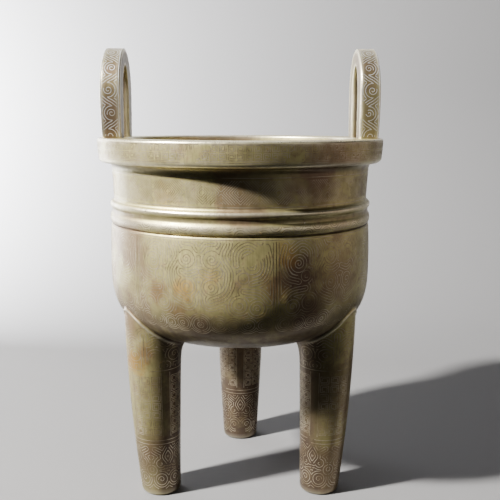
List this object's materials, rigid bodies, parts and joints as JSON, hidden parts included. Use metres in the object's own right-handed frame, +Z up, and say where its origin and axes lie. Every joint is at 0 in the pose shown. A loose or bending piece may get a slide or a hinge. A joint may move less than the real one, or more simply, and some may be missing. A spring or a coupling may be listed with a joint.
{
  "type": "bronze ding vessel",
  "caption": "Round hollow bronze tripod vessel with a flanged rim, upright loop handles, ribbed neck and tapering legs.",
  "frame": {"origin": "on the ground under the centre of the mouth", "axes": "+Z up, +X through one handle, +Y through the single rear leg, so -Y is the front"},
  "size_m": [0.125, 0.125, 0.1936],
  "materials": {
    "bronze": "satin, brown to olive patina",
    "silver": "tarnished silver wire, flush"
  },
  "bodies": {
    "root": {"ding_vessel": "bronze"}
  },
  "joints": []
}
